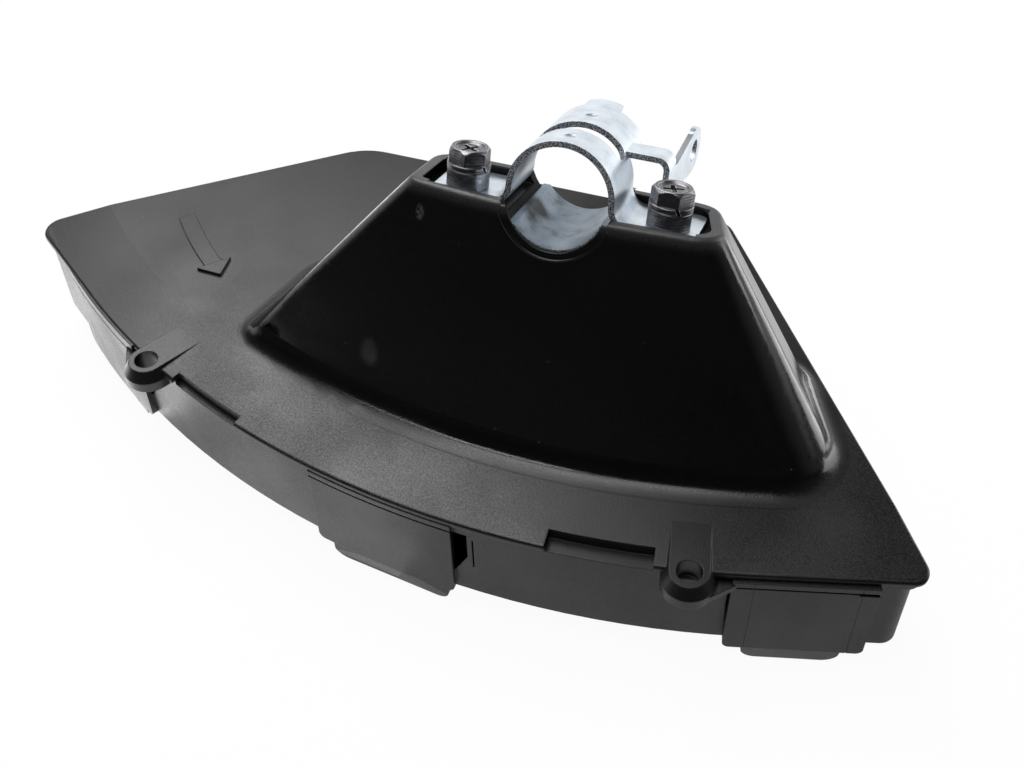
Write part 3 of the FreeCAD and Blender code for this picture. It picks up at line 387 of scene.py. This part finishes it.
@dataclass(frozen=True)
class BlackMoulding:
    """Injection-moulded black polypropylene.

    The tool is spark-eroded on the plate and skirt, which gives a fine satin grain, and polished
    on the boss, which gives a deep black gloss. The grain is drawn about twice as coarse as the
    real texture so that it shows. The top of the boss is rougher and painted lighter there, a
    painted sheen. Turns are shares of a normal along an axis.
    """

    name: str = "polypropylene_moulded_black"
    deep_hex: str = "#060607"
    worn_hex: str = "#0F1011"
    dust_hex: str = "#55565A"
    dust_apart_mm: float = 7.0
    dust_mm: float = 0.35
    smudge_hex: str = "#6E6F72"
    ior: float = 1.49
    satin_roughness: float = 0.41
    polish_roughness: float = 0.13
    roughness_swing: float = 0.11
    roughness_speckle: float = 0.36
    grain_mm: float = 0.5
    grain_detail: float = 2.0
    grain_depth_mm: float = 0.07
    satin_relief: float = 0.5
    polish_relief: float = 0.05
    cloud_mm: float = 26.0
    cloud_detail: float = 4.0
    cloud_span: Span = (0.35, 0.65)
    edge_round_mm: float = 0.5
    edge_samples: int = 4
    polish_above_mm: float = 0.02
    polish_turns: Span = (0.995, 0.82)
    polish_left_mm: float = -103.0
    seat_radius_mm: float = 15.2
    seat_turn: float = 0.5
    seat_roughness: float = 0.85
    rim_sheen_hex: str = "#2B2B2D"
    rim_level_mm: float = -3.0
    rim_fade_mm: float = 4.5
    rim_roughness: float = 0.42
    smudges: tuple[SmudgeAndShade, ...] = ()

    def polish_mask(self, graph: Graph, place: Socket) -> Socket:
        """Adds the mask of the polished boss.

        Args:
            graph: The material's graph.
            place: The object coordinates.

        Returns:
            One on the boss's slopes, zero on the plate, the skirt and the arrow.
        """
        x, _, z = graph.axes(place)
        _, _, upward = graph.axes(graph.normal())
        above_plate = graph.maths(Maths.GREATER_THAN, z, PLATE_TOP + self.polish_above_mm * MM)
        beside_arrow = graph.maths(Maths.GREATER_THAN, x, self.polish_left_mm * MM)
        on_boss = graph.maths(Maths.MULTIPLY, above_plate, beside_arrow)
        return graph.maths(Maths.MULTIPLY, on_boss, graph.fade(upward, self.polish_turns))

    def seat_mask(self, graph: Graph, place: Socket, height: Socket) -> Socket:
        """Adds the mask of the groove that the saddle lies in.

        Args:
            graph: The material's graph.
            place: The object coordinates.
            height: The height over the bore's axis.

        Returns:
            One on the groove's walls and zero elsewhere.
        """
        x, _, _ = graph.axes(place)
        across = graph.add("ShaderNodeCombineXYZ", None, {"X": x, "Y": height}).outputs["Vector"]
        from_bore = graph.vector(VectorMaths.LENGTH, across)
        close = graph.maths(Maths.LESS_THAN, from_bore, self.seat_radius_mm * MM)
        along = graph.vector(VectorMaths.DOT_PRODUCT, graph.normal(), BORE_AXIS)
        inward = graph.maths(Maths.LESS_THAN, graph.maths(Maths.ABSOLUTE, along), self.seat_turn)
        return graph.maths(Maths.MULTIPLY, inward, close)

    def build(self) -> bpy.types.Material:
        """Builds the material and returns it."""
        material, graph = new_material(self.name)
        place = graph.place()
        height = graph.vector(VectorMaths.DOT_PRODUCT, place, CLAMP_UP)
        polish = self.polish_mask(graph, place)
        seat = self.seat_mask(graph, place, height)
        rim = graph.fade(height, ((self.rim_level_mm - self.rim_fade_mm) * MM, self.rim_level_mm * MM))
        cloud = graph.noise(place, self.cloud_mm, self.cloud_detail)
        grain = graph.noise(place, self.grain_mm, self.grain_detail)

        zones = graph.fade(polish, UNIT, (self.satin_roughness, self.polish_roughness), Fade.EVEN)
        rimmed = graph.mix(rim, zones, self.rim_roughness)
        seated = graph.mix(seat, rimmed, self.seat_roughness)
        swing = self.roughness_swing / 2
        clouds = graph.fade(cloud, self.cloud_span, (-swing, swing), Fade.EVEN)
        speck = self.roughness_speckle / 2
        speckle = graph.fade(grain, UNIT, (-speck, speck), Fade.EVEN)
        roughness = graph.maths(Maths.ADD, graph.maths(Maths.ADD, seated, clouds), speckle)

        # Painted sheen: the top of the boss is painted lighter, as well as made rougher, except in the
        # saddle's groove.
        rim_sheen_share = graph.maths(Maths.MULTIPLY, rim, graph.maths(Maths.SUBTRACT, 1.0, seat))
        tint = graph.blend(rim_sheen_share, graph.blend(grain, self.deep_hex, self.worn_hex), self.rim_sheen_hex)
        scatter = graph.add("ShaderNodeTexVoronoi", None,
                            {"Vector": place, "Scale": per_metre(self.dust_apart_mm)})
        dust_reach = self.dust_mm / 2 / self.dust_apart_mm
        dust = graph.maths(Maths.LESS_THAN, scatter.outputs["Distance"], dust_reach)
        colour = graph.blend(dust, tint, self.dust_hex)
        for mark in self.smudges:
            colour = graph.blend(mark.mask(graph, place), colour, self.smudge_hex)

        relief = graph.fade(polish, UNIT, (self.satin_relief, self.polish_relief), Fade.EVEN)
        edges = graph.rounded(self.edge_round_mm, self.edge_samples)
        normal = graph.bump(relief, self.grain_depth_mm, grain, edges)
        graph.surface({"Base Color": colour, "IOR": self.ior, "Roughness": roughness, "Normal": normal})
        return material


@dataclass(frozen=True)
class ZincSheet:
    """Pressed sheet steel with bright zinc plating and sheared edges.

    The plating gives a clear bluish white metal with soft clouds and stains, on which patches of
    painted shadow can be laid. The sheared edges, which face along the bore, are torn, darker and
    grainy.
    """

    name: str = "zinc_plated_steel_pressed"
    bright_hex: str = "#E8EEF4"
    cloud_hex: str = "#C8D3DD"
    cloud_mm: float = 5.0
    cloud_detail: float = 5.0
    cloud_harshness: float = 0.6
    stain_and_shadow_hex: str = "#7C8792"
    stain_share: float = 0.2
    stain_mm: float = 4.5
    stain_detail: float = 6.0
    stain_harshness: float = 0.62
    stain_span: Span = (0.48, 0.66)
    torn_hex: str = "#59636D"
    torn_turns: Span = (0.8, 0.95)
    torn_extra_roughness: float = 0.25
    torn_relief: float = 0.9
    speck_hex: str = "#EEF2F6"
    speck_mm: float = 0.33
    speck_detail: float = 3.0
    speck_span: Span = (0.38, 0.62)
    face_roughness: float = 0.34
    roughness_swing: float = 0.14
    face_relief: float = 0.12
    grain_mm: float = 0.45
    grain_detail: float = 2.0
    grain_depth_mm: float = 0.05
    edge_round_mm: float = 0.25
    edge_samples: int = 4
    painted_shadows: tuple[SmudgeAndShade, ...] = ()

    def plating(self, graph: Graph, place: Socket, cloud: Socket) -> Socket:
        """Adds the colour of the plated faces.

        Args:
            graph: The material's graph.
            place: The object coordinates.
            cloud: The pattern of the clouds.

        Returns:
            The colour with clouds, stains and patches of painted shadow.
        """
        plated = graph.blend(cloud, self.bright_hex, self.cloud_hex)
        blots = graph.noise(place, self.stain_mm, self.stain_detail, self.stain_harshness)
        stained = graph.fade(blots, self.stain_span, (0.0, self.stain_share))
        plated = graph.blend(stained, plated, self.stain_and_shadow_hex)
        # Each patch is a painted shadow, darkened with the stain colour.
        for mark in self.painted_shadows:
            plated = graph.blend(mark.mask(graph, place), plated, self.stain_and_shadow_hex)
        return plated

    def build(self) -> bpy.types.Material:
        """Builds the material and returns it."""
        material, graph = new_material(self.name)
        place = graph.place()
        along = graph.vector(VectorMaths.DOT_PRODUCT, graph.normal(), BORE_AXIS)
        torn = graph.fade(graph.maths(Maths.ABSOLUTE, along), self.torn_turns)
        cloud = graph.noise(place, self.cloud_mm, self.cloud_detail, self.cloud_harshness)
        grain = graph.noise(place, self.grain_mm, self.grain_detail)

        specks = graph.fade(graph.noise(place, self.speck_mm, self.speck_detail), self.speck_span)
        torn_colour = graph.blend(specks, self.torn_hex, self.speck_hex)
        colour = graph.blend(torn, self.plating(graph, place, cloud), torn_colour)

        least = self.face_roughness - self.roughness_swing / 2
        faces = graph.maths(Maths.MULTIPLY_ADD, cloud, self.roughness_swing, least)
        roughness = graph.maths(Maths.MULTIPLY_ADD, torn, self.torn_extra_roughness, faces)

        relief = graph.fade(torn, UNIT, (self.face_relief, self.torn_relief), Fade.EVEN)
        edges = graph.rounded(self.edge_round_mm, self.edge_samples)
        normal = graph.bump(relief, self.grain_depth_mm, grain, edges)
        graph.surface({"Base Color": colour, "Metallic": 1.0, "Roughness": roughness, "Normal": normal})
        return material


@dataclass(frozen=True)
class BlackOxideSteel:
    """Turned and cold-headed steel with a black oxide coat.

    The coat gives a dark, slightly oily metal, rubbed bright in patches, with painted highlights
    along the edges and fine turned lines across the bolts' axes.
    """

    name: str = "black_oxide_steel_turned"
    coat_hex: str = "#6C6C6F"
    rubbed_and_highlight_hex: str = "#E0E0E2"
    patch_share: float = 0.35
    patch_span: Span = (0.5, 0.75)
    edge_highlight_turns: Span = (0.995, 0.93)
    roughness: float = 0.38
    roughness_swing: float = 0.16
    cloud_mm: float = 2.4
    cloud_detail: float = 5.0
    cloud_harshness: float = 0.65
    turned_mm: float = 0.8
    turned_wobble: float = 0.6
    turned_detail: float = 1.0
    turned_depth_mm: float = 0.06
    turned_relief: float = 0.8
    edge_round_mm: float = 0.3
    edge_samples: int = 8

    def turned_lines(self, graph: Graph, place: Socket) -> Socket:
        """Adds the pattern that the lathe leaves.

        Args:
            graph: The material's graph.
            place: The object coordinates.

        Returns:
            The height of the lines, which lie across the bolts' axes.
        """
        upright = graph.add("ShaderNodeVectorRotate", {"rotation_type": "X_AXIS"},
                            {"Vector": place, "Angle": BORE_TILT})
        lines = graph.add("ShaderNodeTexWave", {"bands_direction": "Z"},
                          {"Vector": upright.outputs["Vector"],
                           "Scale": math.tau * per_metre(self.turned_mm) / WAVE_TURN,
                           "Distortion": self.turned_wobble, "Detail": self.turned_detail})
        return lines.outputs["Fac"]

    def build(self) -> bpy.types.Material:
        """Builds the material and returns it."""
        material, graph = new_material(self.name)
        place = graph.place()
        cloud = graph.noise(place, self.cloud_mm, self.cloud_detail, self.cloud_harshness)
        edges = graph.rounded(self.edge_round_mm, self.edge_samples)
        patches = graph.fade(cloud, self.patch_span, (0.0, self.patch_share))
        # Painted highlight: edges are painted lighter; the noise patches are rubbed wear.
        bent = graph.vector(VectorMaths.DOT_PRODUCT, graph.normal(), edges)
        rubbed_and_edge_highlight = graph.maths(Maths.MAXIMUM, patches, graph.fade(bent, self.edge_highlight_turns))
        colour = graph.blend(rubbed_and_edge_highlight, self.coat_hex, self.rubbed_and_highlight_hex)
        least = self.roughness - self.roughness_swing / 2
        roughness = graph.maths(Maths.MULTIPLY_ADD, cloud, self.roughness_swing, least)
        lines = self.turned_lines(graph, place)
        normal = graph.bump(self.turned_relief, self.turned_depth_mm, lines, edges)
        graph.surface({"Base Color": colour, "Metallic": 1.0, "Roughness": roughness, "Normal": normal})
        return material


def dress(names: Sequence[str], material: bpy.types.Material) -> None:
    """Gives CAD nodes a finished material in their own slots.

    Args:
        names: The nodes to dress.
        material: The material they get.
    """
    for name in names:
        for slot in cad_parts[name].material_slots:
            slot.material = material
        LOG.info("dressed %s in %s", name, material.name)


@dataclass
class Shield:
    """The one-piece moulding: plate, rim, skirt, panels, lugs, arrow and boss."""

    node: str = "guard_shield"
    finish: BlackMoulding = field(default_factory=lambda: BlackMoulding(smudges=(
        SmudgeAndShade((-36.9, -22.5, -4.5), (1.6, 2.0, 3.2), strength=0.5, breakup_mm=1.1),
        SmudgeAndShade((-49.3, -37.8, -46.6), (4.2, 4.2, 5.4), strength=0.3, breakup_mm=14.0),
    )))

    def build(self) -> bpy.types.Material:
        """Dresses the moulding and returns its material."""
        material = self.finish.build()
        dress([self.node], material)
        return material


@dataclass
class OpeningLip:
    """The fine bead that the moulding has round the front of the clamp's opening.

    Turns are in degrees about the bore, from the right over the top.
    """

    name: str = "opening_lip"
    carrier: str = "guard_shield"
    slot: str = "black_moulding"
    radius_mm: float = 15.5
    bead_mm: float = 0.45
    first_turn: float = 197.0
    last_turn: float = 343.0
    steps: int = 72
    sides: int = 10
    reach_mm: float = 60.0

    def path(self) -> list[tuple[Vector, Vector]]:
        """Finds the bead's line on the moulding's front.

        Returns:
            Each point of the line with the moulding's normal there.
        """
        depsgraph = bpy.context.evaluated_depsgraph_get()
        solid = BVHTree.FromObject(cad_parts[self.carrier], depsgraph)
        forward = Vector(BORE_AXIS)
        swept = self.last_turn - self.first_turn
        line = []
        for step in range(self.steps + 1):
            turn = math.radians(self.first_turn + swept * step / self.steps)
            beside = Vector((math.cos(turn), 0.0, 0.0)) + math.sin(turn) * Vector(CLAMP_UP)
            start = self.radius_mm * MM * beside + self.reach_mm * MM * forward
            place, normal, _, _ = solid.ray_cast(start, -forward)
            if place is not None:
                line.append((place, normal))
        return line

    def rings(self, line: Sequence[tuple[Vector, Vector]]) -> list[Vector]:
        """Sets a ring of corners round each point of the line.

        Args:
            line: The points with the moulding's normals.

        Returns:
            The corners, ring after ring, in rings that taper towards both ends of the line.
        """
        last = len(line) - 1
        corners = []
        for step, (place, normal) in enumerate(line):
            along = (line[min(step + 1, last)][0] - line[max(step - 1, 0)][0]).normalized()
            beside = along.cross(normal).normalized()
            outward = beside.cross(along)
            size = self.bead_mm * MM * math.sqrt(math.sin(math.pi * (step + 1) / (last + 2)))
            for side in range(self.sides):
                turn = math.tau * side / self.sides
                corners.append(place + size * (math.cos(turn) * outward + math.sin(turn) * beside))
        return corners

    def skin(self, last: int) -> list[tuple[int, ...]]:
        """Joins the rings and closes the two ends.

        Args:
            last: The number of the last ring, counted from zero.

        Returns:
            The faces as places in the list of corners.
        """
        faces = []
        for step in range(last):
            for side in range(self.sides):
                here = step * self.sides + side
                beyond = step * self.sides + (side + 1) % self.sides
                faces.append((here, beyond, beyond + self.sides, here + self.sides))
        faces.append(tuple(reversed(range(self.sides))))
        faces.append(tuple(range(last * self.sides, (last + 1) * self.sides)))
        return faces

    def build(self, material: bpy.types.Material) -> None:
        """Sweeps the bead along its line and sets it on the moulding.

        Args:
            material: The moulding's material.
        """
        line = self.path()
        mesh = bpy.data.meshes.new(self.name)
        mesh.from_pydata(self.rings(line), [], self.skin(len(line) - 1))
        mesh.shade_smooth()
        mesh.materials.append(material)
        lip = bpy.data.objects.new(self.name, mesh)
        bpy.context.scene.collection.objects.link(lip)
        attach(lip, ROOT)
        LOG.info("built %s", self.name)


@dataclass
class ShaftClamp:
    """The pressed cap and saddle that grip the shaft tube."""

    cap: str = "clamp_cap"
    saddle: str = "clamp_saddle"
    cap_finish: ZincSheet = field(default_factory=ZincSheet)
    # Painted shade: the saddle's zinc is a darker copy of the cap's, for its place in the clamp's shade,
    # and its patch is a painted shadow of the cap's leg over its left side.
    saddle_shaded_finish: ZincSheet = field(default_factory=lambda: ZincSheet(
        name="zinc_plated_steel_saddle_painted_shade", bright_hex="#86929E", cloud_hex="#5C6874", stain_and_shadow_hex="#1C2226",
        stain_share=0.45, face_roughness=0.36,
        painted_shadows=(SmudgeAndShade((-8.5, -9.5, -6.6), (6.5, 9.0, 6.0), strength=2.6, breakup_mm=15.0),)))

    def build(self) -> None:
        """Dresses the two pressings."""
        dress([self.cap], self.cap_finish.build())
        dress([self.saddle], self.saddle_shaded_finish.build())


@dataclass
class Fasteners:
    """Bolts, spring washers, collars and nuts that draw the clamp together."""

    kinds: tuple[str, ...] = ("clamp_bolt", "spring_washer", "spacer_collar", "clamp_nut")
    finish: BlackOxideSteel = field(default_factory=BlackOxideSteel)

    def build(self) -> None:
        """Dresses every fastener."""
        names = [f"{side.value}_{kind}" for side in Side for kind in self.kinds]
        dress(names, self.finish.build())


@dataclass(frozen=True)
class Softbox:
    """A rectangular studio lamp, hung in the air or set in the table, in metres."""

    name: str
    place: Point
    aim: Point
    width: float
    height: float
    radiance: float

    def build(self) -> None:
        """Sets the lamp at its place, turned to what it faces and out of the camera's sight."""
        data = bpy.data.lights.new(self.name, "AREA")
        data.shape = "RECTANGLE"
        data.size = self.width
        data.size_y = self.height
        data.energy = self.radiance * math.pi * self.width * self.height
        lamp = bpy.data.objects.new(self.name, data)
        lamp.location = self.place
        back = (Vector(self.place) - Vector(self.aim)).normalized()
        side = Vector((1.0, 0.0, 0.0))
        across = (side - side.dot(back) * back).normalized()
        turn = Matrix((across, back.cross(across), back)).transposed()
        lamp.rotation_euler = turn.to_euler()
        lamp.visible_camera = False
        bpy.context.scene.collection.objects.link(lamp)


@dataclass
class Studio:
    """Pale floor, white surroundings, soft lamps and the camera.

    The floor and the room look white to the eye. In reflections they are darker in front, at the
    right and overhead, so that the black moulding keeps its depth.
    """

    floor_name: str = "studio_floor"
    floor_reach: float = 3.0
    floor_hex: str = "#E9E9E9"
    white_share: float = 0.95
    ambient: float = 0.3
    front_dark: float = 0.03
    right_floor: float = 0.7
    right_wall: float = 0.2
    ceiling: float = 0.08
    floor_front_span: Span = (-0.2, -0.12)
    floor_right_span: Span = (0.1, -0.1)
    floor_edge_span: Span = (0.18, 0.13)
    floor_back_span: Span = (0.16, 0.24)
    room_front_span: Span = (-0.55, 0.15)
    room_right_span: Span = (0.92, 0.75)
    ceiling_span: Span = (0.42, 0.12)
    target_mm: Point = (-17.3, -8.28, -78.71)
    azimuth: float = 20.39
    elevation: float = 46.615
    roll: float = -1.391
    distance_mm: float = 403.3
    focal_px: float = 1300.0
    image_width_px: float = 1024.0
    sensor_mm: float = 36.0
    clip_start: float = 0.01
    lamps: tuple[Softbox, ...] = (
        Softbox("softbox_main", (-0.43, 0.4, 0.67), (-0.05, -0.03, -0.06), 0.5, 0.45, radiance=7.2),
        Softbox("softbox_top", (-0.23, 0.0, 0.85), (-0.23, 0.0, -0.06), 0.35, 0.5, radiance=5.6),
        Softbox("softbox_over", (0.06, -0.17, 0.85), (0.06, -0.17, -0.06), 0.22, 0.36, radiance=4.2),
        Softbox("softbox_right", (0.7, 0.5, 0.2), (0.0, 0.0, 0.0), 0.5, 0.45, radiance=3.0),
        Softbox("softbox_back", (0.0, 0.95, 0.12), (0.0, 0.0, 0.0), 1.0, 0.25, radiance=0.4),
        Softbox("strip_front", (-0.34, -0.36, 0.77), (-0.34, -0.05, -0.06), 0.5, 0.03, radiance=16.0),
        Softbox("table_glow_left", (-0.265, 0.065, -0.1), (-0.265, 0.065, 1.0), 0.27, 0.27, radiance=1.5),
        Softbox("table_glow_front", (-0.115, -0.11, -0.1), (-0.115, -0.11, 1.0), 0.17, 0.1, radiance=0.5),
        Softbox("table_glow_back", (0.18, 0.42, -0.1), (0.18, 0.42, 1.0), 0.26, 0.3, radiance=1.2),
        Softbox("table_glow_right", (0.18, 0.17, -0.1), (0.18, 0.17, 1.0), 0.13, 0.36, radiance=2.0),
    )

    def ray_levels(self, graph: Graph, reflected: Socket) -> tuple[Socket, Socket]:
        """Works out how bright the surroundings are to each kind of ray.

        Args:
            graph: The graph of the floor's or the room's shader.
            reflected: The brightness in reflections.

        Returns:
            The brightness, which is full to the camera, and one for the rays that it holds for.
        """
        rays = graph.add("ShaderNodeLightPath").outputs
        seen = graph.maths(Maths.MAXIMUM, rays["Is Camera Ray"], rays["Is Transmission Ray"])
        glossy = graph.maths(Maths.MULTIPLY, rays["Is Glossy Ray"], reflected)
        level = graph.maths(Maths.MAXIMUM, seen, glossy)
        shown = graph.maths(Maths.MAXIMUM, seen, rays["Is Glossy Ray"])
        return level, shown

    def floor_material(self) -> bpy.types.Material:
        """Makes the floor's material, matte to light and white to the eye, and returns it."""
        material, graph = new_material("matte_white_table")
        x, y, _ = graph.axes(graph.place())
        front = graph.fade(y, self.floor_front_span, (self.front_dark, 1.0))
        right = graph.fade(x, self.floor_right_span, (self.right_floor, 1.0))
        edge = graph.fade(x, self.floor_edge_span, (self.front_dark, 1.0))
        edge = graph.maths(Maths.MAXIMUM, edge, graph.fade(y, self.floor_back_span))
        near = graph.maths(Maths.MULTIPLY, front, right)
        level, shown = self.ray_levels(graph, graph.maths(Maths.MULTIPLY, near, edge))
        share = graph.maths(Maths.MULTIPLY, shown, self.white_share)
        matte = graph.add("ShaderNodeBsdfDiffuse", None, {"Color": linear(self.floor_hex)})
        white = graph.add("ShaderNodeEmission", None, {"Strength": level})
        mixed = graph.add("ShaderNodeMixShader", None,
                          {0: share, 1: matte.outputs["BSDF"], 2: white.outputs["Emission"]})
        graph.add("ShaderNodeOutputMaterial", None, {"Surface": mixed.outputs["Shader"]})
        return material

    def build_floor(self, height: float) -> None:
        """Lays the floor under the object.

        Args:
            height: The floor's height in the row frame.
        """
        reach = self.floor_reach
        corners = [(-reach, -reach, height), (reach, -reach, height),
                   (reach, reach, height), (-reach, reach, height)]
        mesh = bpy.data.meshes.new(self.floor_name)
        mesh.from_pydata(corners, [], [(0, 1, 2, 3)])
        mesh.materials.append(self.floor_material())
        floor = bpy.data.objects.new(self.floor_name, mesh)
        bpy.context.scene.collection.objects.link(floor)

    def build_world(self) -> None:
        """Makes the room, white to the eye and darker in reflections at the front, right and top."""
        world = bpy.data.worlds.new("white_studio")
        world.use_nodes = True
        world.node_tree.nodes.clear()
        graph = Graph(world.node_tree)
        x, y, z = graph.axes(graph.place(Place.DIRECTION))
        front = graph.fade(y, self.room_front_span, (self.front_dark, 1.0))
        right = graph.fade(x, self.room_right_span, (self.right_wall, 1.0))
        top = graph.fade(z, self.ceiling_span, (self.ceiling, 1.0))
        walls = graph.maths(Maths.MULTIPLY, front, right)
        level, shown = self.ray_levels(graph, graph.maths(Maths.MULTIPLY, walls, top))
        soft = graph.add("ShaderNodeBackground", None, {"Color": WHITE, "Strength": self.ambient})
        white = graph.add("ShaderNodeBackground", None, {"Color": WHITE, "Strength": level})
        mixed = graph.add("ShaderNodeMixShader", None,
                          {0: shown, 1: soft.outputs["Background"], 2: white.outputs["Background"]})
        graph.add("ShaderNodeOutputWorld", None, {"Surface": mixed.outputs["Shader"]})
        bpy.context.scene.world = world

    def build_camera(self) -> None:
        """Sets up the camera at the photograph's angle."""
        degrees = (self.azimuth, self.elevation, self.roll)
        azimuth, elevation, roll = (math.radians(turn) for turn in degrees)
        back = Vector((math.sin(azimuth) * math.cos(elevation),
                       -math.cos(azimuth) * math.cos(elevation), math.sin(elevation)))
        level_right = Vector((math.cos(azimuth), math.sin(azimuth), 0.0))
        level_up = back.cross(level_right)
        right = math.cos(roll) * level_right + math.sin(roll) * level_up
        up = math.cos(roll) * level_up - math.sin(roll) * level_right
        turn = Matrix((right, up, back)).transposed()
        place = Vector(self.target_mm) * MM + back * self.distance_mm * MM
        data = bpy.data.cameras.new("photo_camera")
        data.sensor_width = self.sensor_mm
        data.lens = self.focal_px / self.image_width_px * self.sensor_mm
        data.clip_start = self.clip_start
        camera = bpy.data.objects.new("photo_camera", data)
        camera.matrix_world = Matrix.Translation(place) @ turn.to_4x4()
        bpy.context.scene.collection.objects.link(camera)
        bpy.context.scene.camera = camera

    def build(self, floor_height: float) -> None:
        """Builds the whole studio.

        Args:
            floor_height: The height of the object's lowest point.
        """
        self.build_floor(floor_height)
        self.build_world()
        self.build_camera()
        for lamp in self.lamps:
            lamp.build()
        bpy.context.scene.view_settings.view_transform = "Standard"
        LOG.info("built the studio")


def main() -> None:
    """Builds the object's looks and the studio in order."""
    logging.basicConfig(level=logging.INFO, format="%(name)s: %(message)s")
    moulding = Shield().build()
    OpeningLip().build(moulding)
    ShaftClamp().build()
    Fasteners().build()
    Studio().build(CAD_BOX[0].z)


if __name__ == "__main__":
    main()
